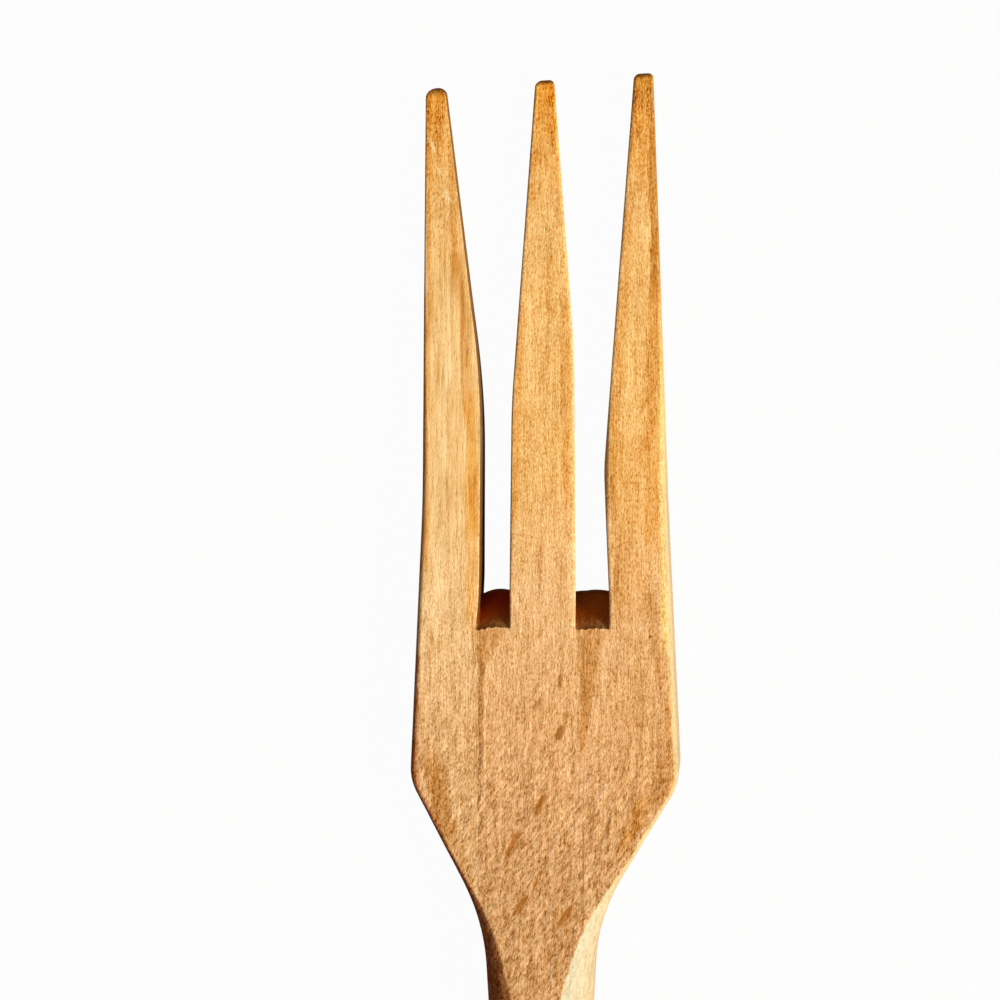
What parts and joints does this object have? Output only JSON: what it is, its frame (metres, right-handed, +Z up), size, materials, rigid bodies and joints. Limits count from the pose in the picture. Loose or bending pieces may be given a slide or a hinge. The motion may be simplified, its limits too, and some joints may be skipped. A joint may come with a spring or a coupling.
{
  "type": "wooden fork",
  "caption": "Wooden serving fork with long tapering tines, a flat planed head, sloping shoulders and a round handle, glued up from a handle stick and side cheeks.",
  "frame": {"origin": "on the flat back, under the handle's axis, level with the shoulders", "axes": "+Y along the fork towards the tips of the tines, +Z up out of the front face, +X to the right seen from the front with the tips up"},
  "size_m": [0.0511, 0.3206, 0.0164],
  "materials": {
    "stick_wood": "sanded bare wood, grain along the fork",
    "cheek_wood": "sanded bare wood, grain along the fork",
    "glue": "dried brown wood glue, flush with the wood"
  },
  "bodies": {
    "root": {"handle_stick": "stick_wood", "left_cheek": "cheek_wood", "right_cheek": "cheek_wood", "left_glue_line": "glue", "right_glue_line": "glue"}
  },
  "joints": []
}
